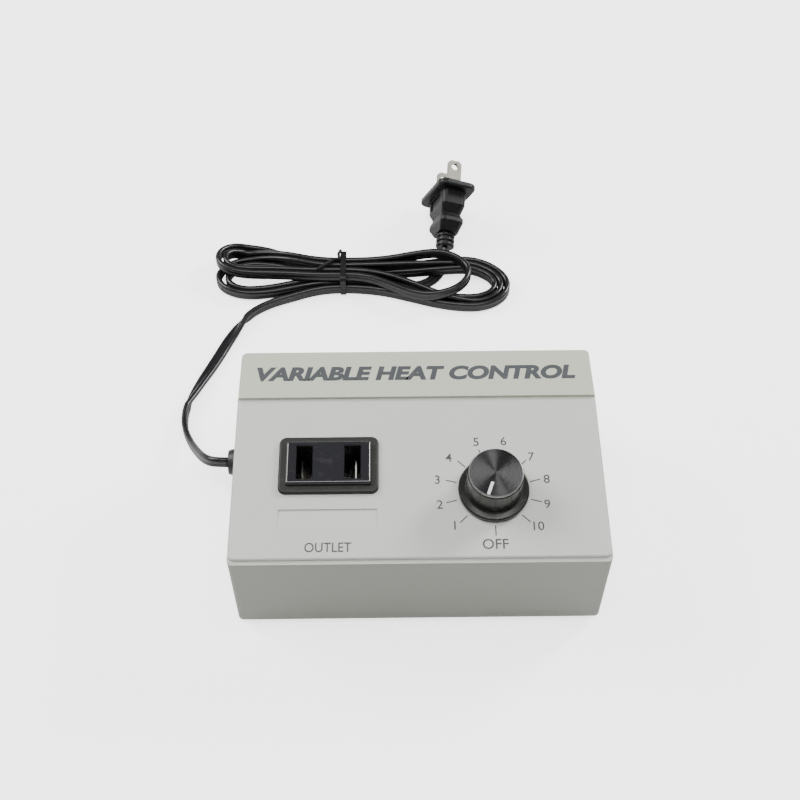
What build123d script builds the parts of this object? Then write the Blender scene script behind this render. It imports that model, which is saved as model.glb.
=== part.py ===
"""Bench heat control for a soldering iron: a plastic case with a mains outlet, a rotary control and a cord.

The origin is on the surface that the case stands on, under its centre. +X is to the right, +Y to the rear and
+Z is up.
The control panel slopes down to the front. What is mounted on it is placed on the panel's own plane, whose
origin is the middle of its front edge, with x to the right, y up the slope and z out of the panel.
"""

from build123d import *
from math import cos, pi, radians, sin, tan
import os

os.makedirs("parts", exist_ok=True)

# Case
case_width = 127.0
case_depth = 84.0
wall = 2.2
foot_height = 2.0
foot_radius = 5.5
corner_radius = 2.0
panel_slope = 7.0
panel_front = 40.6  # height of the panel's plane at the front face of the case
band_front = 20.3  # y where the raised band at the rear starts
band_top = 49.3
cover_edge = 1.2  # height of the cover's visible edge above the case's rim
cover_inset_front = 1.3
cover_inset = 0.3
lip_depth = 3.0
lip_wall = 1.6
lip_gap = 0.25
screw_x, screw_y = 54.0, 33.5
screw_radius = 1.5
boss_radius = 4.9
boss_top = 26.0
screw_seat = 16.0  # height at which the screw heads seat inside the bosses

# Outlet, on the panel
outlet_x, outlet_v = -30.6, 35.8
bezel_width, bezel_height, bezel_rise = 34.2, 21.8, 1.4
face_width, face_height, face_rise = 29.0, 16.5, 3.1
face_root = -3.0  # the outlet face reaches this far below the panel
window_width, window_height, window_offset = 5.5, 12.6, 8.2
outlet_back = -18.0
blade_pitch = 12.7

# Rotary control and knob, on the panel
dial_x, dial_v = 25.3, 25.6
pointer_angle = 20.0  # how far clockwise past OFF the pointer stands
skirt_radius, knob_radius, cap_radius = 12.0, 9.4, 9.1
knob_base, knob_top, cap_top = 0.8, 12.4, 13.4
shaft_radius = 3.0
shaft_gap = 0.05
can_radius = 12.0
can_bottom, switch_bottom = -13.4, -22.0

# Circuit board
board_width, board_depth, board_thickness = 80.0, 50.0, 1.6
board_x, board_y, board_bottom = 4.0, -5.0, 9.0

# Cord, bushing and plug
cord_width = 4.9
bushing_y, bushing_z = 15.0, 18.0
bushing_head = 5.9
plug_turn, plug_lift, plug_roll = 4.5, 21.0, 68.0
plug_origin = (17.2, 164.9, 14.5)
flange_length, flange_width, flange_thickness = 27.0, 17.4, 2.8
blade_width, blade_thickness, blade_reach = 6.35, 1.5, 12.6
relief_radius, relief_start, relief_end = 4.1, -19.8, -26.0
hank_height = 10.0  # where the strands stand two deep, from the left end to the tie
hump_height = 13.8  # where a strand passes over two others, on the right of the tie

# The cord's lead from the bushing to the hank, on the floor once it is down
cord_rest = cord_width / 2
lead_route = [
    (-case_width / 2 - bushing_head, bushing_y, bushing_z),
    (-74.6, 15.0, 18.0),
    (-78.8, 18.2, 15.4),
    (-82.6, 24.2, 11.2),
    (-87.0, 32.6, 6.0),
    (-91.0, 42.6, cord_rest),
    (-91.5, 53.0, cord_rest),
    (-87.8, 64.5, cord_rest),
    (-82.0, 78.0, cord_rest),
    (-76.8, 91.5, cord_rest),
    (-70.4, 103.0, cord_rest),
    (-61.5, 110.0, cord_rest),
    (-51.0, 114.0, cord_rest),
]

front, back = -case_depth / 2, case_depth / 2
slope = radians(panel_slope)
panel = Plane(origin=(0, -case_depth / 2, panel_front), x_dir=(1, 0, 0), z_dir=(0, -sin(slope), cos(slope)))
panel_axis = Axis(panel.origin, panel.z_dir)
floor_top = foot_height + wall
rim_flat = panel_front + (band_front + case_depth / 2) * tan(slope) - cover_edge
screw_spots = [(x, y) for x in (-screw_x, screw_x) for y in (-screw_y, screw_y)]
board_top = board_bottom + board_thickness
board_holes = [
    (board_x + x, board_y + y)
    for x in (-board_width / 2 + 4, board_width / 2 - 4)
    for y in (-board_depth / 2 + 4, board_depth / 2 - 4)
]


def panel_at(x, v, h):
    """A plane parallel to the panel and h above it, centred on the panel's point (x, v)."""
    return Plane(origin=panel.from_local_coords(Vector(x, v, h)), x_dir=panel.x_dir, z_dir=panel.z_dir)


def panel_height(y):
    """The height of the panel's plane at y."""
    return panel_front + (y + case_depth / 2) * tan(slope)


def across_case(points, half_width, mode=Mode.ADD):
    """Extrudes a side profile, given as (y, z) points, to both sides of the case's middle."""
    with BuildSketch(Plane.YZ) as profile:
        with BuildLine():
            Polyline(*points, close=True)
        make_face()
    extrude(profile.sketch, amount=half_width, both=True, mode=mode)


def turned(plane, points):
    """Revolves (radius, height) points about the plane's own y axis."""
    with BuildSketch(plane) as profile:
        with BuildLine():
            Polyline(*points, close=True)
        make_face()
    revolve(profile.sketch, axis=Axis(plane.origin, plane.y_dir))


def upright(origin):
    """A plane through the panel's normal at a point, for profiles of turned pieces."""
    return Plane(origin=origin, x_dir=(1, 0, 0), z_dir=(0, -cos(slope), -sin(slope)))


def write(piece, name):
    piece.part.label = name
    export_step(piece.part, "parts/" + name + ".step")


# Lower case: four walls and a floor, with bosses for the case screws and posts for the circuit board
with BuildPart() as lower_case:
    across_case(
        [
            (front, foot_height),
            (back, foot_height),
            (back, rim_flat),
            (band_front, rim_flat),
            (front, panel_front - cover_edge),
        ],
        case_width / 2,
    )
    fillet(lower_case.edges().filter_by(Axis.Z), corner_radius)
    fillet(lower_case.faces().sort_by(Axis.Z)[0].edges(), 0.8)
    with BuildSketch(Plane.XY.offset(floor_top)):
        RectangleRounded(case_width - 2 * wall, case_depth - 2 * wall, 1.0)
    extrude(amount=case_depth, mode=Mode.SUBTRACT)
    with BuildSketch(Plane.XY.offset(floor_top - 0.5)):
        with Locations(*screw_spots):
            Circle(boss_radius)
    extrude(amount=boss_top - floor_top + 0.5)
    with BuildSketch(Plane.XY.offset(foot_height)):
        with Locations(*screw_spots):
            Circle(3.3)
    extrude(amount=screw_seat - foot_height, mode=Mode.SUBTRACT)
    with BuildSketch(Plane.XY.offset(screw_seat - 1)):
        with Locations(*screw_spots):
            Circle(screw_radius + 0.2)
    extrude(amount=boss_top - screw_seat + 2, mode=Mode.SUBTRACT)
    with BuildSketch(Plane.XY.offset(floor_top - 0.5)):
        with Locations(*board_holes):
            Circle(3.0)
    extrude(amount=board_bottom - floor_top + 0.5)
    with BuildSketch(Plane.XY.offset(floor_top)):
        with Locations(*board_holes):
            Circle(1.1)
    extrude(amount=board_bottom, mode=Mode.SUBTRACT)
    with BuildSketch(Plane.YZ.offset(-case_width / 2 - 1)):
        with Locations((bushing_y, bushing_z)):
            Circle(4.0)
    extrude(amount=wall + 2, mode=Mode.SUBTRACT)
write(lower_case, "lower_case")

# Top cover: the sloping panel, the raised band behind it, a lip inside the case's walls and four screw posts
with BuildPart() as top_cover:
    cover_half = case_width / 2 - cover_inset
    cover_front, cover_back = front + cover_inset_front, back - cover_inset
    across_case(
        [
            (cover_front, panel_height(cover_front) - cover_edge),
            (cover_front, panel_height(cover_front)),
            (band_front, panel_height(band_front)),
            (band_front, band_top),
            (cover_back, band_top),
            (cover_back, rim_flat),
            (band_front, rim_flat),
        ],
        cover_half,
    )
    corners = top_cover.edges().filter_by(Axis.Z).group_by(Axis.Y)
    fillet(corners[0] + corners[-1], corner_radius)
    outer = (
        top_cover.faces()
        .filter_by(lambda face: face.normal_at().Z > 0.9)
        .edges()
        .filter_by(lambda edge: abs((edge @ 0.5).Y - band_front) > 0.5)
    )
    fillet(outer, 0.7)
    lip_half, lip_back = case_width / 2 - wall - lip_gap, back - wall - lip_gap
    lip_outside, lip_inside = (0, lip_depth, 0.3, Mode.ADD), (lip_wall, lip_depth + 1, -1.0, Mode.SUBTRACT)
    for inset, drop, top, mode in (lip_outside, lip_inside):
        near, far = -lip_back + inset, lip_back - inset
        across_case(
            [
                (near, panel_height(near) - cover_edge - drop),
                (near, panel_height(near) - cover_edge + top),
                (band_front, rim_flat + top),
                (far, rim_flat + top),
                (far, rim_flat - drop),
                (band_front, rim_flat - drop),
            ],
            lip_half - inset,
            mode,
        )
    for y, post_top in ((-screw_y, panel_height(-screw_y) - 1), (screw_y, band_top - 1)):
        with BuildSketch(Plane.XY.offset(boss_top + 0.2)):
            with Locations((-screw_x, y), (screw_x, y)):
                Circle(3.4)
        extrude(amount=post_top - boss_top - 0.2)
    with BuildSketch(Plane.XY.offset(boss_top)):
        with Locations(*screw_spots):
            Circle(screw_radius - 0.2)
    extrude(amount=10, mode=Mode.SUBTRACT)
    with BuildSketch(panel_at(outlet_x, outlet_v, -6)):
        Rectangle(bezel_width - 3.2, bezel_height - 3.2)
    extrude(amount=8, mode=Mode.SUBTRACT)
    with BuildSketch(panel_at(dial_x, dial_v, -6)):
        Circle(3.8)
    extrude(amount=8, mode=Mode.SUBTRACT)
    # A shallow label recess that runs out to nothing towards the front
    recess_width, recess_length, recess_depth, recess_front = 33.4, 7.8, 0.5, 11.6
    recess_slope = slope - recess_depth / recess_length
    recess = Plane(
        origin=panel.from_local_coords(Vector(outlet_x, recess_front, 0)),
        x_dir=(1, 0, 0),
        z_dir=(0, -sin(recess_slope), cos(recess_slope)),
    )
    with BuildSketch(recess):
        Rectangle(recess_width, recess_length, align=(Align.CENTER, Align.MIN))
    extrude(amount=2, mode=Mode.SUBTRACT)
write(top_cover, "top_cover")

# Case screws: pan heads inside the bosses, threads in the cover's posts
with BuildPart() as case_screws:
    with BuildSketch(Plane.XY.offset(screw_seat - 2.4)):
        with Locations(*screw_spots):
            Circle(2.9)
            Rectangle(3.4, 0.8, mode=Mode.SUBTRACT)
            Rectangle(0.8, 3.4, mode=Mode.SUBTRACT)
    extrude(amount=1.2)
    with BuildSketch(Plane.XY.offset(screw_seat - 1.2)):
        with Locations(*screw_spots):
            Circle(2.9)
    extrude(amount=1.2)
    with BuildSketch(Plane.XY.offset(screw_seat)):
        with Locations(*screw_spots):
            Circle(screw_radius)
    extrude(amount=18)
write(case_screws, "case_screws")

# Rubber feet: rings round the screw holes
with BuildPart() as rubber_feet:
    with BuildSketch(Plane.XY):
        with Locations(*screw_spots):
            Circle(foot_radius)
            Circle(3.3, mode=Mode.SUBTRACT)
    extrude(amount=foot_height)
    chamfer(rubber_feet.faces().sort_by(Axis.Z)[0:4].edges().filter_by(GeomType.CIRCLE), 0.4)
write(rubber_feet, "rubber_feet")

# Outlet body: the bezel on the panel and the box behind it that holds the face and the contacts
with BuildPart() as outlet_body:
    with BuildSketch(panel_at(outlet_x, outlet_v, 0)):
        RectangleRounded(bezel_width, bezel_height, 2.5)
    extrude(amount=bezel_rise)
    fillet(outlet_body.faces().sort_by(panel_axis)[-1].edges(), 0.8)
    with BuildSketch(panel_at(outlet_x, outlet_v, outlet_back)):
        Rectangle(bezel_width - 3.4, bezel_height - 3.4)
    extrude(amount=-outlet_back + 0.2)
    with BuildSketch(panel_at(outlet_x, outlet_v, face_root)):
        Rectangle(face_width, face_height)
    extrude(amount=bezel_rise - face_root + 1, mode=Mode.SUBTRACT)
    with BuildSketch(panel_at(outlet_x, outlet_v, outlet_back)):
        with Locations((-window_offset + 0.9, 0), (window_offset - 0.9, 0)):
            Rectangle(10.0, window_height + 1)
    extrude(amount=face_root - outlet_back, mode=Mode.SUBTRACT)
write(outlet_body, "outlet_body")

# Outlet face: the raised glossy block with the two windows
with BuildPart() as outlet_face:
    with BuildSketch(panel_at(outlet_x, outlet_v, face_root)):
        RectangleRounded(face_width, face_height, 0.6)
        with Locations((-window_offset, 0), (window_offset, 0)):
            Rectangle(window_width, window_height, mode=Mode.SUBTRACT)
    extrude(amount=face_rise - face_root)
    face_top = outlet_face.faces().sort_by(panel_axis)[-1]
    fillet(face_top.outer_wire().edges(), 0.9)
    window_rims = [wire.edges() for wire in face_top.inner_wires()]
    chamfer([edge for rim in window_rims for edge in rim], 0.3)
write(outlet_face, "outlet_face")

# Outlet contacts: sprung brass leaves on each side of where a blade goes, with a tab through the rear cover
contact_width, contact_sheet = 7.0, 0.5
for side, name in ((-1, "outlet_contact_left"), (1, "outlet_contact_right")):
    with BuildPart() as contact:
        centre = blade_pitch / 2
        leaves = [
            (centre + 2.9, face_root + 0.2),
            (centre + 1.05, face_root - 4.5),
            (centre + 1.3, outlet_back + 3.0),
            (centre - 1.3, outlet_back + 3.0),
            (centre - 1.05, face_root - 4.5),
            (centre - 1.9, face_root - 1.5),
        ]
        middle = panel.from_local_coords(Vector(outlet_x, outlet_v, 0))
        with BuildSketch(upright(middle)):
            for start, end in zip(leaves[:-1], leaves[1:]):
                with BuildLine():
                    line = Line((side * start[0], start[1]), (side * end[0], end[1]))
                trace(line, line_width=contact_sheet)
            with Locations((side * centre, outlet_back - 0.5)):
                Rectangle(contact_sheet, 7.5)
        extrude(amount=contact_width / 2, both=True)
    write(contact, name)

# Rear cover of the outlet, with a slot for each contact's tab
with BuildPart() as outlet_rear_cover:
    with BuildSketch(panel_at(outlet_x, outlet_v, outlet_back - 2)):
        Rectangle(bezel_width - 3.4, bezel_height - 3.4)
        with Locations((-blade_pitch / 2, 0), (blade_pitch / 2, 0)):
            Rectangle(contact_sheet + 0.3, contact_width + 0.4, mode=Mode.SUBTRACT)
    extrude(amount=2)
write(outlet_rear_cover, "outlet_rear_cover")

# Knob: a skirted body round a brass bush, with a spun metal cap and an inlaid pointer line
dial_centre = panel.from_local_coords(Vector(dial_x, dial_v, 0))
dial_section = upright(dial_centre)
bush_radius, bush_bottom, bush_top = 5.0, 4.4, 10.9
set_screw_plane = Plane(origin=panel.from_local_coords(Vector(dial_x, dial_v, 7.5)), z_dir=panel.y_dir)
with BuildPart() as knob_body:
    turned(
        dial_section,
        [
            (skirt_radius - 3.6, knob_base),
            (skirt_radius, knob_base),
            (skirt_radius, knob_base + 1.1),
            (skirt_radius - 0.4, knob_base + 1.5),
            (knob_radius + 0.5, knob_base + 1.7),
            (knob_radius + 0.1, knob_base + 2.2),
            (knob_radius, knob_top - 0.2),
            (knob_radius - 0.2, knob_top),
            (0, knob_top),
            (0, bush_top),
            (bush_radius, bush_top),
            (bush_radius, bush_bottom),
            (skirt_radius - 3.6, bush_bottom),
        ],
    )
    with BuildSketch(set_screw_plane):
        Circle(1.6)
    extrude(amount=14, mode=Mode.SUBTRACT)
write(knob_body, "knob_body")

with BuildPart() as knob_bush:
    with BuildSketch(panel_at(dial_x, dial_v, bush_bottom)):
        Circle(bush_radius)
        Circle(shaft_radius + 0.03, mode=Mode.SUBTRACT)
    extrude(amount=bush_top - bush_bottom)
    with BuildSketch(set_screw_plane):
        Circle(1.3)
    extrude(amount=8, mode=Mode.SUBTRACT)
write(knob_bush, "knob_bush")

with BuildPart() as knob_set_screw:
    with BuildSketch(set_screw_plane.offset(shaft_radius + 0.1)):
        Circle(1.25)
    extrude(amount=5.2)
    with BuildSketch(set_screw_plane.offset(shaft_radius + 4.3)):
        RegularPolygon(0.75, 6)
    extrude(amount=1.2, mode=Mode.SUBTRACT)
write(knob_set_screw, "knob_set_screw")

pointer_inner, pointer_outer, pointer_width, pointer_depth = 3.8, 8.6, 1.0, 0.12
turn = radians(-90 - pointer_angle)
pointer_middle = (pointer_inner + pointer_outer) / 2
pointer_place = Location(
    (pointer_middle * cos(turn), pointer_middle * sin(turn), 0), (0, 0, -90 - pointer_angle)
)
with BuildPart() as knob_cap:
    with BuildSketch(panel_at(dial_x, dial_v, knob_top)):
        Circle(cap_radius)
    extrude(amount=cap_top - knob_top)
    chamfer(knob_cap.faces().sort_by(panel_axis)[-1].edges(), 0.35)
    with BuildSketch(panel_at(dial_x, dial_v, cap_top - pointer_depth)):
        with Locations(pointer_place):
            Rectangle(pointer_outer - pointer_inner, pointer_width)
    extrude(amount=1, mode=Mode.SUBTRACT)
write(knob_cap, "knob_cap")

with BuildPart() as knob_pointer:
    with BuildSketch(panel_at(dial_x, dial_v, cap_top - pointer_depth)):
        with Locations(pointer_place):
            Rectangle(pointer_outer - pointer_inner, pointer_width)
    extrude(amount=pointer_depth + 0.03)
write(knob_pointer, "knob_pointer")

# Rotary control: threaded bushing with its top plate, washer and nut, shaft, wiper, track, can and switch
under_cover = -cover_edge - 1.0
plate_thickness = 1.2
with BuildPart() as control_bushing:
    with BuildSketch(panel_at(dial_x, dial_v, under_cover - plate_thickness)):
        Circle(can_radius)
    extrude(amount=plate_thickness)
    with BuildSketch(panel_at(dial_x, dial_v, under_cover)):
        Circle(3.7)
    extrude(amount=3.4 - under_cover)
    with BuildSketch(panel_at(dial_x, dial_v, under_cover - 5)):
        Circle(shaft_radius + shaft_gap)
    extrude(amount=15, mode=Mode.SUBTRACT)
write(control_bushing, "control_bushing")

with BuildPart() as control_washer:
    with BuildSketch(panel_at(dial_x, dial_v, 0)):
        Circle(6.5)
        Circle(3.9, mode=Mode.SUBTRACT)
    extrude(amount=0.6)
write(control_washer, "control_washer")

with BuildPart() as control_nut:
    with BuildSketch(panel_at(dial_x, dial_v, 0.6)):
        RegularPolygon(5.5, 6, major_radius=False)
        Circle(3.7, mode=Mode.SUBTRACT)
    extrude(amount=2.2)
write(control_nut, "control_nut")

hub_top = can_bottom + 4.0
with BuildPart() as control_shaft:
    with BuildSketch(panel_at(dial_x, dial_v, hub_top)):
        Circle(shaft_radius)
    extrude(amount=bush_top - 0.4 - hub_top)
    chamfer(control_shaft.faces().sort_by(panel_axis)[-1].edges(), 0.4)
write(control_shaft, "control_shaft")

track_top = can_bottom + 1.8
with BuildPart() as control_wiper:
    with BuildSketch(panel_at(dial_x, dial_v, hub_top - 1.4)):
        Circle(4.5)
    extrude(amount=1.4)
    with BuildSketch(panel_at(dial_x, dial_v, hub_top - 1.4)):
        with Locations(pointer_place):
            Rectangle(9.0, 2.6)
    extrude(amount=0.6)
    with BuildSketch(panel_at(dial_x, dial_v, track_top + 0.3)):
        with Locations((8.6 * cos(turn), 8.6 * sin(turn))):
            Circle(0.7)
    extrude(amount=hub_top - 1.2 - track_top - 0.3)
write(control_wiper, "control_wiper")

tongue_width, tongue_reach = 15.0, 16.5
with BuildPart() as control_can:
    with BuildSketch(panel_at(dial_x, dial_v, can_bottom)):
        Circle(can_radius)
        Circle(can_radius - 0.8, mode=Mode.SUBTRACT)
    extrude(amount=under_cover - plate_thickness - can_bottom)
    with BuildSketch(panel_at(dial_x, dial_v, can_bottom)):
        with Locations((0, -can_radius)):
            Rectangle(tongue_width + 0.6, 12)
    extrude(amount=3.0, mode=Mode.SUBTRACT)
write(control_can, "control_can")

with BuildPart() as control_track:
    with BuildSketch(panel_at(dial_x, dial_v, track_top - 1.3)):
        Circle(can_radius - 0.9)
        with Locations((0, -tongue_reach / 2)):
            Rectangle(tongue_width, tongue_reach)
        Circle(4.8, mode=Mode.SUBTRACT)
    extrude(amount=1.3)
write(control_track, "control_track")

with BuildPart() as switch_housing:
    with BuildSketch(panel_at(dial_x, dial_v, switch_bottom)):
        Circle(can_radius)
    extrude(amount=can_bottom - switch_bottom)
    fillet(switch_housing.faces().sort_by(panel_axis)[0].edges(), 1.0)
write(switch_housing, "switch_housing")

# Solder tags: three on the track's tongue and two under the switch
tag_spots = [(-5, -tongue_reach), (0, -tongue_reach), (5, -tongue_reach)]
with BuildPart() as control_tags:
    with BuildSketch(panel_at(dial_x, dial_v, track_top)):
        with Locations(*tag_spots):
            Rectangle(2.2, 6.5)
            Circle(0.6, mode=Mode.SUBTRACT)
    extrude(amount=0.5)
    with BuildSketch(panel_at(dial_x, dial_v, switch_bottom - 5.5)):
        with Locations((-5, 0), (5, 0)):
            Rectangle(0.6, 3.0)
    extrude(amount=5.5)
write(control_tags, "control_tags")

# Circuit board and its screws
with BuildPart() as circuit_board:
    with BuildSketch(Plane.XY.offset(board_bottom)):
        with Locations((board_x, board_y)):
            RectangleRounded(board_width, board_depth, 1.5)
        with Locations(*board_holes):
            Circle(1.7, mode=Mode.SUBTRACT)
    extrude(amount=board_thickness)
write(circuit_board, "circuit_board")

with BuildPart() as board_screws:
    with BuildSketch(Plane.XY.offset(board_bottom - 4)):
        with Locations(*board_holes):
            Circle(1.1)
    extrude(amount=board_thickness + 4)
    with BuildSketch(Plane.XY.offset(board_top)):
        with Locations(*board_holes):
            Circle(2.5)
    extrude(amount=1.6)
    with BuildSketch(Plane.XY.offset(board_top + 0.9)):
        with Locations(*board_holes):
            Rectangle(3.2, 0.6)
            Rectangle(0.6, 3.2)
    extrude(amount=1, mode=Mode.SUBTRACT)
write(board_screws, "board_screws")

# Triac on its finned heat sink, between the outlet and the control
sink_x, sink_y, sink_height = 0.0, -18.0, 20.0
with BuildPart() as heat_sink:
    with BuildSketch(Plane.XY.offset(board_top)):
        with Locations((sink_x, sink_y)):
            Rectangle(20, 2)
        with Locations(*[(sink_x + x, sink_y + 4.5) for x in (-9.25, -3.1, 3.1, 9.25)]):
            Rectangle(1.5, 7.2)
    extrude(amount=sink_height)
    with BuildSketch(Plane.XZ.offset(-sink_y - 3)):
        with Locations((sink_x, board_top + 15)):
            Circle(1.5)
    extrude(amount=5, both=True, mode=Mode.SUBTRACT)
write(heat_sink, "heat_sink")

tab_front = sink_y - 1.0
with BuildPart() as triac:
    with BuildSketch(Plane.XY.offset(board_top + 3)):
        with Locations((sink_x, tab_front - 0.65)):
            Rectangle(10, 1.3)
    extrude(amount=15.5)
    with BuildSketch(Plane.XY.offset(board_top + 3)):
        with Locations((sink_x, tab_front - 2.8)):
            Rectangle(10, 3.2)
    extrude(amount=9)
    with BuildSketch(Plane.XY.offset(board_top)):
        with Locations(*[(sink_x + x, tab_front - 2.4) for x in (-2.54, 0, 2.54)]):
            Rectangle(0.8, 0.5)
    extrude(amount=3.2)
    with BuildSketch(Plane.XZ.offset(-tab_front - 1)):
        with Locations((sink_x, board_top + 15)):
            Circle(1.6)
    extrude(amount=3, both=True, mode=Mode.SUBTRACT)
write(triac, "triac")

with BuildPart() as heat_sink_screw:
    with BuildSketch(Plane.XZ.offset(-tab_front + 1.3)):
        with Locations((sink_x, board_top + 15)):
            Circle(2.8)
    extrude(amount=1.8)
    with BuildSketch(Plane.XZ.offset(-sink_y - 1.6)):
        with Locations((sink_x, board_top + 15)):
            Circle(1.4)
    extrude(amount=-tab_front + sink_y + 3.2)
write(heat_sink_screw, "heat_sink_screw")

# Suppression choke: an iron powder ring with a copper winding
choke_x, choke_y, core_outer, core_inner, core_height = 0.0, 6.0, 10.0, 5.2, 7.5
winding_gap = 1.1
choke_section = Plane(origin=(choke_x, choke_y, board_top + winding_gap), x_dir=(1, 0, 0), z_dir=(0, -1, 0))
with BuildPart() as choke_core:
    with BuildSketch(Plane.XY.offset(board_top + winding_gap)):
        with Locations((choke_x, choke_y)):
            Circle(core_outer)
            Circle(core_inner, mode=Mode.SUBTRACT)
    extrude(amount=core_height)
write(choke_core, "choke_core")

with BuildPart() as choke_winding:
    with BuildSketch(choke_section):
        with Locations(((core_outer + core_inner) / 2, core_height / 2)):
            RectangleRounded(core_outer - core_inner + 2 * winding_gap, core_height + 2 * winding_gap, 1.0)
            Rectangle(core_outer - core_inner, core_height, mode=Mode.SUBTRACT)
    revolve(axis=Axis((choke_x, choke_y, 0), (0, 0, 1)), revolution_arc=300)
write(choke_winding, "choke_winding")


# Capacitors: boxes with rounded edges on two legs
def box_capacitor(x, y, length, width, height, pitch):
    with BuildPart() as capacitor:
        with BuildSketch(Plane.XY.offset(board_top + 0.5)):
            with Locations((x, y)):
                Rectangle(length, width)
        extrude(amount=height)
        fillet(capacitor.edges(), 0.6)
        with BuildSketch(Plane.XY.offset(board_bottom - 1.5)):
            with Locations((x - pitch / 2, y), (x + pitch / 2, y)):
                Circle(0.35)
        extrude(amount=board_thickness + 3)
    return capacitor


write(box_capacitor(-20, -24, 18, 8.5, 13.5, 15), "filter_capacitor")
write(box_capacitor(36, -16, 10, 5, 9, 7.5), "timing_capacitor")


# Lying components: a body with a lead at each end bent down into the board
def lying_component(x, y, length, radius):
    axis_height = board_top + radius + 0.3
    reach = length / 2 + 2.0
    with BuildSketch(Plane.YZ.offset(x - length / 2)) as body:
        with Locations((y, axis_height)):
            Circle(radius)
    extrude(body.sketch, amount=length)
    with BuildSketch(Plane.YZ.offset(x - reach)) as lead:
        with Locations((y, axis_height)):
            Circle(0.35)
    extrude(lead.sketch, amount=2 * reach)
    with BuildSketch(Plane.XY.offset(board_bottom - 1.5)) as legs:
        with Locations((x - reach, y), (x + reach, y)):
            Circle(0.35)
    extrude(legs.sketch, amount=axis_height - board_bottom + 1.5)


with BuildPart() as resistors:
    for place in ((26, 3), (26, 8), (26, 13)):
        lying_component(*place, 8, 1.4)
write(resistors, "resistors")

with BuildPart() as diac:
    lying_component(-26, 12, 4, 0.9)
write(diac, "diac")

# Cord bushing in the left wall, the cord's inner end and the clamp that stops it being pulled out
bushing_axis = Plane(
    origin=(-case_width / 2, bushing_y, bushing_z), x_dir=(0, 1, 0), z_dir=(0, 0, 1)
)
cord_bore = cord_width / 2 + 0.02
with BuildPart() as cord_bushing:
    turned(
        bushing_axis,
        [
            (cord_bore, bushing_head),
            (4.5, bushing_head),
            (5.1, bushing_head - 2.2),
            (5.1, 0.05),
            (3.95, 0.05),
            (3.95, -5.0),
            (cord_bore, -5.0),
        ],
    )
write(cord_bushing, "cord_bushing")

with BuildPart() as cord_inner:
    with BuildSketch(Plane.YZ.offset(-case_width / 2 - bushing_head)):
        with Locations((bushing_y, bushing_z)):
            Circle(cord_width / 2)
    extrude(amount=bushing_head + 14)
write(cord_inner, "cord_inner")

with BuildPart() as cord_clamp:
    with BuildSketch(Plane.YZ.offset(-case_width / 2 + 5.2)):
        with Locations((bushing_y, bushing_z)):
            RectangleRounded(11, 9, 1.5)
            Circle(cord_bore, mode=Mode.SUBTRACT)
    extrude(amount=5)
write(cord_clamp, "cord_clamp")


# Inner wires, each a round insulated conductor that bends in plain arcs
wire_radius = 0.8


def wire(*points):
    with BuildPart() as run:
        with BuildLine() as path:
            FilletPolyline(*points, radius=3)
        with BuildSketch(Plane(origin=path.line @ 0, z_dir=path.line % 0)):
            Circle(wire_radius)
        sweep()
    return run


cord_stub = -case_width / 2 + 14.2
tab_end = panel.from_local_coords(Vector(outlet_x, outlet_v, outlet_back - 4.4))
left_tab = tab_end - Vector(blade_pitch / 2, 0, 0)
right_tab = tab_end + Vector(blade_pitch / 2, 0, 0)
switch_tag = panel.from_local_coords(Vector(dial_x - 6.5, dial_v, switch_bottom - 3))
write(
    wire(
        (cord_stub, bushing_y + 1, bushing_z),
        (-40, bushing_y + 3, bushing_z),
        (-24, 22, 14),
        (12, 22, 14),
        (switch_tag.X - 4, switch_tag.Y + 10, switch_tag.Z),
        (switch_tag.X, switch_tag.Y, switch_tag.Z),
    ),
    "wire_live",
)
write(
    wire(
        (cord_stub, bushing_y - 1, bushing_z),
        (-43, bushing_y - 3, bushing_z),
        (left_tab.X - 1, 4, 15),
        (left_tab.X - 1, left_tab.Y, left_tab.Z - 1),
    ),
    "wire_neutral",
)
write(
    wire(
        (-12, -8, board_top + 0.1),
        (-12, -8, board_top + 6),
        (right_tab.X + 1.2, right_tab.Y - 3, right_tab.Z - 6),
        (right_tab.X + 1.2, right_tab.Y, right_tab.Z - 0.5),
    ),
    "wire_load",
)
tag_places = [panel.from_local_coords(Vector(dial_x + x, dial_v + v - 4.5, track_top)) for x, v in tag_spots]
with BuildPart() as wire_control:
    for tag in tag_places:
        start = (tag.X, -27.5, board_top + 0.1)
        with BuildLine() as path:
            FilletPolyline(
                start,
                (tag.X, -27.5, board_top + 8),
                (tag.X, tag.Y, tag.Z - 8),
                (tag.X, tag.Y, tag.Z),
                radius=2,
            )
        with BuildSketch(Plane(origin=path.line @ 0, z_dir=path.line % 0)):
            Circle(wire_radius)
        sweep()
write(wire_control, "wire_control")


# Free cord: its lead as straight runs joined by arcs, each as large as its two runs allow
def corner_radii(points):
    radii = []
    for before, corner, after in zip(points[:-2], points[1:-1], points[2:]):
        first, second = Vector(corner) - Vector(before), Vector(after) - Vector(corner)
        half_turn = radians(first.get_angle(second) / 2)
        radii.append(0.45 * min(first.length, second.length) / tan(half_turn))
    return radii


lead_radii = corner_radii(lead_route)
with BuildPart() as cord_lead:
    with BuildLine() as lead_path:
        FilletPolyline(*lead_route, radius=lead_radii)
    with BuildSketch(Plane(origin=lead_path.line @ 0, z_dir=lead_path.line % 0)):
        Circle(cord_width / 2)
    sweep()
write(cord_lead, "cord_lead")
section = pi * (cord_width / 2) ** 2
lead_length = sum(edge.length for edge in lead_path.edges())
print("cord lead radii", [round(r, 1) for r in lead_radii])
print("cord lead length", round(lead_length, 1))
print("volume over section times length", round(cord_lead.part.volume / section / lead_length, 4))

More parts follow.
